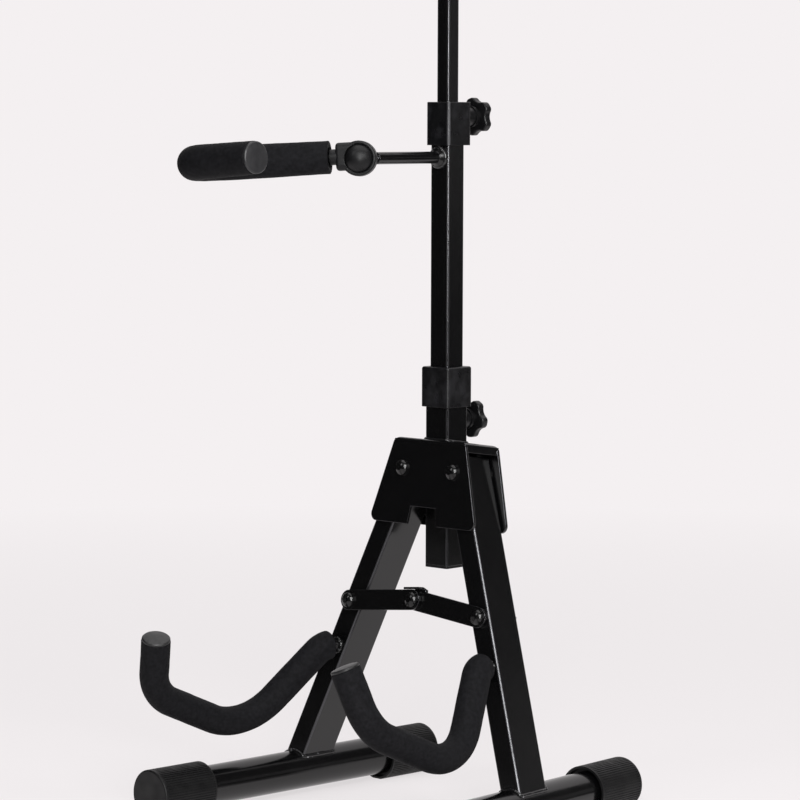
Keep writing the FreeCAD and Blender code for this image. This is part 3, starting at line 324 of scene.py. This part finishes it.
plastic_black = (0.0036, 0.0036, 0.0040)
plastic_worn = (0.0058, 0.0058, 0.0062)
moulded_plastic = Finish("black_moulded_plastic", plastic_black, specular=0.32)
moulded_plastic.paint(moulded_plastic.patches(0.02, low=0.42, high=0.68, detail=4.0), plastic_worn)
moulded_plastic.gloss(0.012, smoothest=0.30, roughest=0.38)
moulded_plastic.relief(moulded_plastic.cells(0.0009), depth=0.000016)
moulded_plastic.relief(moulded_plastic.grain(0.0004), depth=0.00001)
moulded_plastic.dress("lower_tube_plug")


# Hinge bolts: button-head steel screws with a key socket, blackened in oil.
# Each goes through the bracket and a leg's bushes, and a plain nut holds it at the back.
bolt_black = (0.0024, 0.0024, 0.0026)
bolt_bare = (0.006, 0.0058, 0.0056)
black_steel = Finish("blackened_steel", bolt_black, specular=0.45)
black_steel.paint(black_steel.patches(0.0035, low=0.52, high=0.75, detail=5.0), bolt_bare)
black_steel.gloss(0.002, smoothest=0.13, roughest=0.22, detail=4.0)
black_steel.relief(black_steel.grain(0.0008), depth=0.000005)
black_steel.dress("hinge_bolts", "hinge_nuts")


# Legs and feet: a rectangular steel tube on each hinge bolt, coped and welded to a round foot tube.
# Each end of a foot is pushed into a ribbed rubber cap, which stands on the floor.
leg_half_width, leg_half_depth = 0.010, 0.0175
foot_bead, foot_ripple = 0.0019, 0.0026
splay = math.radians(joints["left_leg_fold"]["range_deg"][1])
sides = {"left": -1, "right": 1}
cap_black = (0.0022, 0.0022, 0.0025)
cap_dusty = (0.0056, 0.0055, 0.0055)
cap_rubber = Finish("black_rubber", cap_black, specular=0.3)
cap_rubber.paint(cap_rubber.patches(0.016, low=0.48, high=0.74, detail=5.0), cap_dusty)
cap_rubber.gloss(0.009, smoothest=0.42, roughest=0.58, detail=3.0)
cap_rubber.relief(cap_rubber.grain(0.0007, detail=3.0), depth=0.00002)


def leg_frame(side):
    """A leg's place: X across it, Y up along it and Z along its hinge bolt."""
    hinge = joints[side + "_leg_fold"]
    turn = sides[side] * splay
    leg_across = across * math.cos(turn) + bracket_up * math.sin(turn)
    leg_up = bolt_axis.cross(leg_across)
    place = Matrix((leg_across, leg_up, bolt_axis)).transposed().to_4x4()
    place.translation = Vector(hinge["pos_m"])
    return place


def where_leg_meets_foot(side):
    """Points round the leg's outline, slid down the leg until they meet the foot tube."""
    outline_step, starts_below = 0.045, 0.1
    place = leg_frame(side)
    low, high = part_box(side + "_foot_tube")
    radius = (high.z - low.z) / 2
    ends = [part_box(side + "_rear_cap"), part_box(side + "_front_cap")]
    rear, front = [(one + two) / 2 for one, two in ends]
    foot_along = (front - rear).to_2d().to_3d().normalized()
    foot_point = Vector((rear.x, rear.y, (low.z + high.z) / 2))
    downward = -place.col[1].to_3d()
    points = []
    for outline in square_loop(0, 0, 1.0, tube_corner / leg_half_depth, outline_step):
        start = place @ Vector((outline.x * leg_half_width, -starts_below, outline.y * leg_half_depth))
        offset = start - foot_point
        offset -= foot_along * offset.dot(foot_along)
        fall = downward - foot_along * downward.dot(foot_along)
        steepness, approach, clearance = fall.dot(fall), offset.dot(fall), offset.dot(offset) - radius ** 2
        reach = math.sqrt(max(approach * approach - steepness * clearance, 0))
        points.append(start + downward * ((-approach - reach) / steepness))
    return points


for side in sides:
    powder_coat.dress(side + "_foot_tube")
    along_leg = leg_frame(side) @ Matrix.Rotation(-math.pi / 2, 4, "X")
    coat_tube(side + "_leg_tube", along_leg, leg_half_width, leg_half_depth)
    moulded_plastic.dress(side + "_hinge_bushes")
    cap_rubber.dress(side + "_front_cap", side + "_rear_cap")
    weld_bead(side + "_foot_weld", where_leg_meets_foot(side), foot_bead, side + "_leg", foot_ripple)


# Cradle arms: bent steel tubes welded to the fronts of the legs. A thick foam sleeve is drawn over each,
# and a moulded plug closes the free end.
arm_radius, cradle_drop, cradle_gap = 0.005, 0.165, 0.005
cradle_radius, cradle_mouth = 0.012, 0.0065
cradle_bead, cradle_bead_gap = 0.0016, 0.0006
cradle_turn_out = math.radians(5.3)
bare_turn, first_bend = math.radians(15.0), 0.0165
cradle_bends = [("bend", first_bend, 43.4), ("run", 0.052), ("bend", 0.0528, -72.3), ("run", 0.051),
                ("bend", 0.0394, -56.0), ("run", 0.030)]

foam_black = (0.0030, 0.0030, 0.0037)
foam_light = (0.0074, 0.0073, 0.0087)
pore_size = 0.0006
foam = Finish("black_foam", foam_black, specular=0.12, roughness=0.75)
foam.paint(foam.patches(0.003, low=0.35, high=0.68, detail=5.0), foam_light)
foam.relief(foam.grain(0.006, detail=3.0), depth=0.00006)
foam.relief(foam.cells(pore_size), depth=0.00009)
foam.relief(foam.grain(pore_size / 2), depth=0.00005)


def plug_finish(name, dark, pale):
    """Moulded plug: a fine grain from the mould, scuffed paler in places."""
    plug = Finish(name, dark, specular=0.5)
    plug.paint(plug.patches(0.005, low=0.4, high=0.7, detail=5.0), pale)
    plug.gloss(0.004, smoothest=0.37, roughest=0.47)
    plug.soft_edges(0.0006)
    plug.relief(plug.grain(0.0006, detail=3.0), depth=0.00003)
    return plug


# The cradle plugs are coloured darker than the yoke's plug; the difference is painted shade.
cradle_plug = plug_finish("black_cradle_plug", (0.0060, 0.0060, 0.0065), (0.0090, 0.0090, 0.0097))


def bent_line(start, forward, leftward, steps, spacing):
    """Places along straight runs and tangent bends in one plane. A bend to the left has a positive angle.

    Each place is a point, the way onward, the way to the left, and the curvature there.
    """
    point, ahead, left = start.copy(), forward.copy(), leftward.copy()
    line = [(point.copy(), ahead.copy(), left.copy(), 0.0)]
    for step in steps:
        if step[0] == "run":
            count = max(1, round(step[1] / spacing))
            for n in range(count):
                point = point + ahead * (step[1] / count)
                line.append((point.copy(), ahead.copy(), left.copy(), 0.0))
            continue
        radius, turn = step[1], math.radians(step[2])
        count = max(1, round(radius * abs(turn) / spacing))
        toward = math.copysign(1, turn)
        centre = point + left * (radius * toward)
        part = turn / count
        for n in range(count):
            ahead, left = (ahead * math.cos(part) + left * math.sin(part),
                           left * math.cos(part) - ahead * math.sin(part))
            point = centre - left * (radius * toward)
            line.append((point.copy(), ahead.copy(), left.copy(), toward / radius))
    return line


def foam_sleeve(name, steps, start, forward, leftward, radius, mouth, body, node, seed, swell=0.0):
    """A foam tube on a bent rod, with soft lumps and with gathers on the inside of its bends.

    Its root is cut off square, with a wider mouth round the rod. Its other end has a lip round the plug.
    """
    around = 48
    fine, coarse, end_zone = 0.0004, 5, 0.004
    cut_edge, plug_lip, mouth_depth = 0.0006, 0.0011, 0.0035
    flare, flare_reach = 0.0003, 0.003
    lump_height, lump_rate = 0.00018, 60
    small_lump_height, small_lump_rate = 0.00009, 210
    crease_depth, crease_pitch, tightest = 0.0006, 0.0042, 0.8
    line = bent_line(start, forward, leftward, steps, fine)
    travel = [0.0]
    for (before, *_), (after, *_) in zip(line, line[1:]):
        travel.append(travel[-1] + (after - before).length)
    length = travel[-1]
    outside, inside = [], []
    for n, (point, ahead, left, curve) in enumerate(line):
        from_root, from_tip = travel[n], length - travel[n]
        if min(from_root, from_tip) > end_zone and n % coarse:
            continue
        girth = radius + flare * math.exp(-from_root / flare_reach)
        girth += swell * math.sin(math.pi * from_root / length)
        for gap, edge in ((from_root, cut_edge), (from_tip, plug_lip)):
            if gap < edge:
                girth -= edge - math.sqrt(edge ** 2 - (edge - gap) ** 2)
        normal = ahead.cross(left)
        gather = min(abs(curve) * radius, tightest)
        wave = 0.5 + 0.5 * math.sin(from_root / crease_pitch * 2 * math.pi)
        ring, hole = [], []
        for k in range(around):
            turn = 2 * math.pi * k / around
            outward = left * math.cos(turn) + normal * math.sin(turn)
            spot = point + outward * radius
            lumps = lump_height * noise.noise(spot * lump_rate + Vector((seed, 0, 0)))
            lumps += small_lump_height * noise.noise(spot * small_lump_rate + Vector((0, seed, 0)))
            inner = max(0.0, math.cos(turn) * math.copysign(1, curve)) if curve else 0.0
            crease = inner ** 3 * gather * crease_depth * wave
            ring.append(point + outward * (girth + lumps - crease))
            hole.append(point + outward * (mouth if from_root < mouth_depth else arm_radius))
        outside.append(ring)
        inside.append(hole)
    piece = sweep(name, outside + inside[::-1], foam, body, closed=True)
    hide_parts(node)


for seed, side in enumerate(sides, start=1):
    powder_coat.dress(side + "_cradle_rod")
    cradle_plug.dress(side + "_cradle_tip")
    place = leg_frame(side)
    root = place @ Vector((0, -cradle_drop, leg_half_depth))
    turned = Matrix.Rotation(sides[side] * cradle_turn_out, 3, "Y") @ Vector((0, 0, 1))
    arm_ahead = place.to_3x3() @ turned
    arm_down = -place.col[1].to_3d()
    ring_side = arm_ahead.cross(arm_down)
    root_ring = circle_points(root, arm_down, ring_side, arm_radius + cradle_bead_gap, count=46)
    weld_bead(side + "_cradle_weld", root_ring, cradle_bead, side + "_leg")
    sleeve_ahead = arm_ahead * math.cos(bare_turn) + arm_down * math.sin(bare_turn)
    sleeve_left = arm_down * math.cos(bare_turn) - arm_ahead * math.sin(bare_turn)
    sleeve_root = root + arm_ahead * cradle_gap + (arm_down - sleeve_left) * first_bend
    foam_sleeve(side + "_cradle_sleeve", cradle_bends, sleeve_root, sleeve_ahead, sleeve_left,
                cradle_radius, cradle_mouth, side + "_leg", side + "_cradle_foam", seed)


# Folding brace: two flat steel links between the legs, the right one with a stop tab bent over the left one.
# They turn on button-head screws with nuts behind, and their edges are painted paler and metal-like, as a
# painted highlight.
powder_coat.dress("left_brace_link", "right_brace_link")
black_steel.dress("left_link_bolt", "left_link_nut", "left_link_spacer", "brace_centre_bolt",
                  "brace_centre_nut", "right_link_bolt", "right_link_tail", "right_link_nut")


# Middle tube: a smaller square steel tube, coated like the lower one.
# It slides in the lower tube on a moulded guide, which is pushed into its foot.
middle_low, middle_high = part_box("middle_tube")
middle_half = (middle_high.x - middle_low.x) / 2
coat_tube("middle_tube", column_line, middle_half, middle_half)
moulded_plastic.dress("middle_tube_guide")


# Collars: square plastic mouldings on the heads of the lower and middle tubes, which guide the next tube.
# Handling has clouded them, and a pale strip is painted along the upper one's corners as a painted
# highlight.
collar_black = (0.0026, 0.0026, 0.0031)
collar_cloud = (0.0105, 0.0105, 0.0120)
painted_collar_highlight = (0.050, 0.050, 0.054)
collar_corner = 0.0026


def collar_plastic(name):
    """A moulded collar, clouded by handling and marked by a few scrapes."""
    plastic = Finish("black_" + name, collar_black, specular=0.40)
    clouds = plastic.patches(0.011, low=0.50, high=0.74, detail=4.0)
    scrapes = plastic.specks(0.009, core=0.02, rim=0.07, strength=0.5)
    plastic.paint(plastic.reckon("MAXIMUM", clouds, scrapes), collar_cloud)
    plastic.gloss(0.006, smoothest=0.26, roughest=0.40, detail=3.0)
    plastic.soft_edges(0.0005)
    plastic.relief(plastic.grain(0.0007), depth=0.000012)
    plastic.dress(name)
    return plastic


collar_plastic("lower_collar")
upper_collar = collar_plastic("upper_collar")
collar_low, collar_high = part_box("upper_collar")
collar_middle, collar_half = (collar_low + collar_high) / 2, (collar_high - collar_low) / 2
collar_line = Matrix.Translation((collar_middle.x, collar_middle.y, 0))
# A pale strip along the upper collar's corners: painted highlight.
collar_highlight_strip = along_corners(upper_collar, "upper_collar", collar_line, collar_half.x, collar_half.y,
                        collar_corner)
upper_collar.paint(collar_highlight_strip, painted_collar_highlight)


# Upper tube: the smallest of the three square steel tubes, coated like the others.
# It has a moulded guide in its foot and a moulded plug in its head.
upper_low, upper_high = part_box("upper_tube")
upper_half = (upper_high.x - upper_low.x) / 2
coat_tube("upper_tube", column_line, upper_half, upper_half)
moulded_plastic.dress("upper_tube_guide", "top_plug")


# Bow hook: a bent steel rod, welded to the back of the upper tube near its head.
# It is dipped in soft rubber, which thins out towards the weld and ends in a round tip.
hook_radius, hook_reach, sleeve_start, sleeve_radius = 0.0025, 0.042, 0.004, 0.0044
hook_bends = [("run", hook_reach - sleeve_start), ("bend", 0.009, 80.0), ("run", 0.010)]
hook_bead, hook_bead_gap = 0.0011, 0.0004
dip_step, dip_sides = 0.001, 24
thin_start, thin_length = 0.72, 0.006
dip_unevenness, dip_lump_rate = 0.03, 180
smallest_square = 1e-8
powder_coat.dress("bow_hook")
hook_root = Vector((0, upper_high.y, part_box("bow_hook")[0].z + hook_radius))
hook_ring = circle_points(hook_root, across, upward, hook_radius + hook_bead_gap, count=30)
weld_bead("hook_weld", hook_ring, hook_bead, "upper")
dipped = bent_line(hook_root + backward * sleeve_start, backward, upward, hook_bends, dip_step)
dip_length = (len(dipped) - 1) * dip_step
mouth_point, mouth_ahead, mouth_left, _ = dipped[0]
hook_rings = [circle_points(mouth_point, mouth_left, mouth_ahead.cross(mouth_left), hook_radius, dip_sides)]
for n, (point, ahead, left, _) in enumerate(dipped):
    near_start, near_end = n * dip_step, dip_length - n * dip_step
    thickness = sleeve_radius * min(1.0, thin_start + near_start / thin_length)
    if near_end < sleeve_radius:
        square = sleeve_radius ** 2 - (sleeve_radius - near_end) ** 2
        thickness = math.sqrt(max(square, smallest_square))
    thickness *= 1 + dip_unevenness * noise.noise(point * dip_lump_rate)
    hook_rings.append(circle_points(point, left, ahead.cross(left), thickness, dip_sides))
hook_sleeve = sweep("hook_dip", hook_rings, cap_rubber, "upper")
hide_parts("bow_hook_sleeve")


# Clamping knobs: plastic heads with five round lobes, moulded on steel screws behind the column.
# Each screw runs in a nut and presses on the tube that slides inside.
moulded_plastic.dress("lower_knob", "upper_knob")
black_steel.dress("lower_knob_screw", "upper_knob_screw", "upper_knob_nut")


# Neck arm: a steel rod welded to the front of the middle tube, with a plastic ball on the stud at its end
# and a thin nylon seat round the ball.
neck_bead, neck_bead_ring, neck_bead_lift = 0.0019, 0.0076, 0.0012
socket_black = (0.0028, 0.0028, 0.0033)
socket_worn = (0.0050, 0.0050, 0.0057)
socket_plastic = Finish("black_socket_plastic", socket_black, specular=0.30)
socket_plastic.paint(socket_plastic.patches(0.008, low=0.42, high=0.68, detail=4.0), socket_worn)
socket_plastic.gloss(0.006, smoothest=0.40, roughest=0.50)
socket_plastic.soft_edges(0.0008)
socket_plastic.relief(socket_plastic.cells(0.0009), depth=0.00002)
socket_plastic.dress("swivel_ball", "swivel_seat")
powder_coat.dress("neck_arm_rod")
ball_centre = Vector(joints["yoke_roll"]["pos_m"])
arm_root = Vector((0, middle_low.y, ball_centre.z))
arm_ring = circle_points(arm_root - backward * neck_bead_lift, across, upward, neck_bead_ring, count=60)
weld_bead("neck_arm_weld", arm_ring, neck_bead, "middle")


# Yoke: a bent steel tube in the neck of a plastic socket, drawn into a foam sleeve.
# A moulded plug closes its free end.
yoke_radius, yoke_start, yoke_mouth, yoke_swell = 0.0132, 0.024, 0.0085, 0.0009
yoke_bends = [("run", 0.0736), ("bend", 0.030, 146.0), ("run", 0.0558)]
yoke_heading, yoke_droop, yoke_rise = math.radians(214.0), math.radians(4.1), 0.0021
yoke_seed = 3
socket_plastic.dress("yoke_socket")
powder_coat.dress("yoke_rod")
# The yoke's plug is coloured paler than the cradle plugs; the difference is painted light on its lit face.
yoke_plug = plug_finish("black_yoke_plug", (0.013, 0.013, 0.0142), (0.019, 0.019, 0.0205))
yoke_plug.dress("yoke_tip")
yoke_turn = Matrix.Rotation(-yoke_droop, 3, "Y") @ Matrix.Rotation(yoke_heading, 3, "Z")
yoke_ahead, yoke_left, yoke_up = yoke_turn @ across, yoke_turn @ backward, yoke_turn @ upward
yoke_root = ball_centre + yoke_ahead * yoke_start + yoke_up * yoke_rise
foam_sleeve("yoke_sleeve", yoke_bends, yoke_root, yoke_ahead, yoke_left, yoke_radius, yoke_mouth, "yoke",
            "yoke_foam", yoke_seed, yoke_swell)


# Floor: a broad pale studio sheet, laid flat under the stand.
# It takes the shadow near the stand, and further off it runs out into the even background.
pale = (0.905, 0.871, 0.880)
floor_radius, floor_sides, floor_drop = 12.0, 64, 0.0002
near_floor, far_floor, near_share = 0.55, 2.2, 0.72


def seen_directly(tree):
    """1 for what the camera, a mirror or a glass sees, and 0 for what lights the object."""
    path = tree.nodes.new("ShaderNodeLightPath")
    total = path.outputs["Is Camera Ray"]
    for output in ("Is Glossy Ray", "Is Transmission Ray"):
        add = tree.nodes.new("ShaderNodeMath")
        add.operation = "MAXIMUM"
        tree.links.new(total, add.inputs[0])
        tree.links.new(path.outputs[output], add.inputs[1])
        total = add.outputs["Value"]
    return total


sheet = Finish("pale_floor", (0.86, 0.835, 0.842), specular=0.0, roughness=0.9)
distance = sheet.node("ShaderNodeVectorMath", {0: sheet.place}, operation="LENGTH").outputs["Value"]
far = sheet.between(distance, near_floor, far_floor, near_share, 1.0)
share = sheet.reckon("MULTIPLY", far, seen_directly(sheet.tree))
glow = sheet.node("ShaderNodeEmission", {"Color": (*pale, 1), "Strength": 1.0}).outputs["Emission"]
blend = sheet.node("ShaderNodeMixShader", {0: share, 1: sheet.shader.outputs["BSDF"], 2: glow})
sheet.tree.links.new(blend.outputs["Shader"], sheet.tree.nodes["Material Output"].inputs["Surface"])
floor_rim = circle_points(upward * -floor_drop, across, backward, floor_radius, floor_sides)
mesh_object("floor", floor_rim, [range(floor_sides)], sheet)


# Light: the pale room, a broad soft box overhead, one in front, one on the right and two by the camera.
# A black drape round the front of the set, and a grey one with a paler band at the back right,
# keep the black faces dark.
room_light = 0.36
world = bpy.data.worlds.new("pale_room")
bpy.context.scene.world = world
world.use_nodes = True
room = world.node_tree
lit = room.nodes["Background"]
lit.inputs["Color"].default_value = (*pale, 1)
lit.inputs["Strength"].default_value = room_light
shown = room.nodes.new("ShaderNodeBackground")
shown.inputs["Color"].default_value = (*pale, 1)
shown.inputs["Strength"].default_value = 1.0
chosen = room.nodes.new("ShaderNodeMixShader")
room.links.new(seen_directly(room), chosen.inputs[0])
room.links.new(lit.outputs["Background"], chosen.inputs[1])
room.links.new(shown.outputs["Background"], chosen.inputs[2])
room.links.new(chosen.outputs["Shader"], room.nodes["World Output"].inputs["Surface"])

aim = Vector((0, 0.02, 0.35))


def soft_box(name, direction, distance, width, height, watts):
    """A lamp behind a stretched cloth, set off from the middle of the stand and turned to it."""
    lamp = bpy.data.lights.new(name, "AREA")
    lamp.shape = "RECTANGLE"
    lamp.size = width
    lamp.size_y = height
    lamp.energy = watts
    box = add_object(name, lamp)
    toward = Vector(direction).normalized()
    box.location = aim + toward * distance
    box.rotation_euler = toward.to_track_quat("Z", "Y").to_euler()


soft_box("overhead_box", (0.05, 0.1, 1.0), distance=2.2, width=2.4, height=2.4, watts=15)
soft_box("front_box", (-0.09, -0.75, 0.655), distance=2.1, width=0.5, height=0.7, watts=5)
soft_box("right_box", (0.918, -0.146, 0.435), distance=2.1, width=0.5, height=0.9, watts=12)
soft_box("key_box", (0.650, -0.600, 0.466), distance=3.0, width=1.3, height=1.3, watts=60)
soft_box("strip_box", (0.740, -0.667, 0.087), distance=2.9, width=0.45, height=0.5, watts=24)


def dark_cloth(name, shade, from_azimuth, to_azimuth, profile):
    """A cloth hung round part of the set, from a profile of distances and heights. Only mirrors see it."""
    count = 24
    verts = []
    for n in range(count + 1):
        turn = math.radians(from_azimuth + (to_azimuth - from_azimuth) * n / count)
        outward = across * math.sin(turn) - backward * math.cos(turn)
        verts += [outward * reach + upward * height for reach, height in profile]
    row = len(profile)
    faces = [(n * row + k, n * row + k + 1, n * row + row + k + 1, n * row + row + k)
             for n in range(count) for k in range(row - 1)]
    dull = Finish(name, (shade, shade, shade), specular=0.0, roughness=0.9)
    cloth = mesh_object(name, verts, faces, dull)
    cloth.visible_camera = False
    cloth.visible_diffuse = False
    cloth.visible_shadow = False


front_profile = [(1.1, 0.003), (3.5, 0.003), (3.5, 1.0), (3.2, 1.9), (2.4, 2.7), (1.4, 3.2)]
back_profile = [(1.2, 0.003), (4.0, 0.003), (4.0, 4.0)]
band_profile = [(3.95, 0.35), (3.95, 1.15)]
dark_cloth("front_drape", 0.04, -105, 100, front_profile)
dark_cloth("right_drape", 0.12, 112, 162, back_profile)
dark_cloth("pale_band", 0.38, 112, 162, band_profile)


# Camera: a long lens to the right of the front, a little higher than the yoke and turned down a little.
# Its frame cuts off the head of the column and the front of the right foot.
camera_azimuth, camera_distance, camera_height = math.radians(41.864), 2.7912, 0.5803
camera_pitch, camera_yaw, camera_roll = math.radians(4.921), math.radians(0.791), math.radians(0.186)
camera = add_object("camera", bpy.data.cameras.new("camera"))
bpy.context.scene.camera = camera
camera.data.sensor_width = 36
camera.data.lens = 151.9
camera.data.clip_end = 100
camera.location = (camera_distance * math.sin(camera_azimuth),
                   column_y - camera_distance * math.cos(camera_azimuth), camera_height)
facing = camera_azimuth + camera_yaw
level = Vector((-math.sin(facing), math.cos(facing), 0))
looking = level * math.cos(camera_pitch) - upward * math.sin(camera_pitch)
to_right = looking.cross(upward).normalized()
overhead = to_right.cross(looking)
rolled_right = to_right * math.cos(camera_roll) + overhead * math.sin(camera_roll)
rolled_up = overhead * math.cos(camera_roll) - to_right * math.sin(camera_roll)
camera.rotation_euler = Matrix((rolled_right, rolled_up, -looking)).transposed().to_euler()
bpy.context.scene.view_settings.view_transform = "Standard"
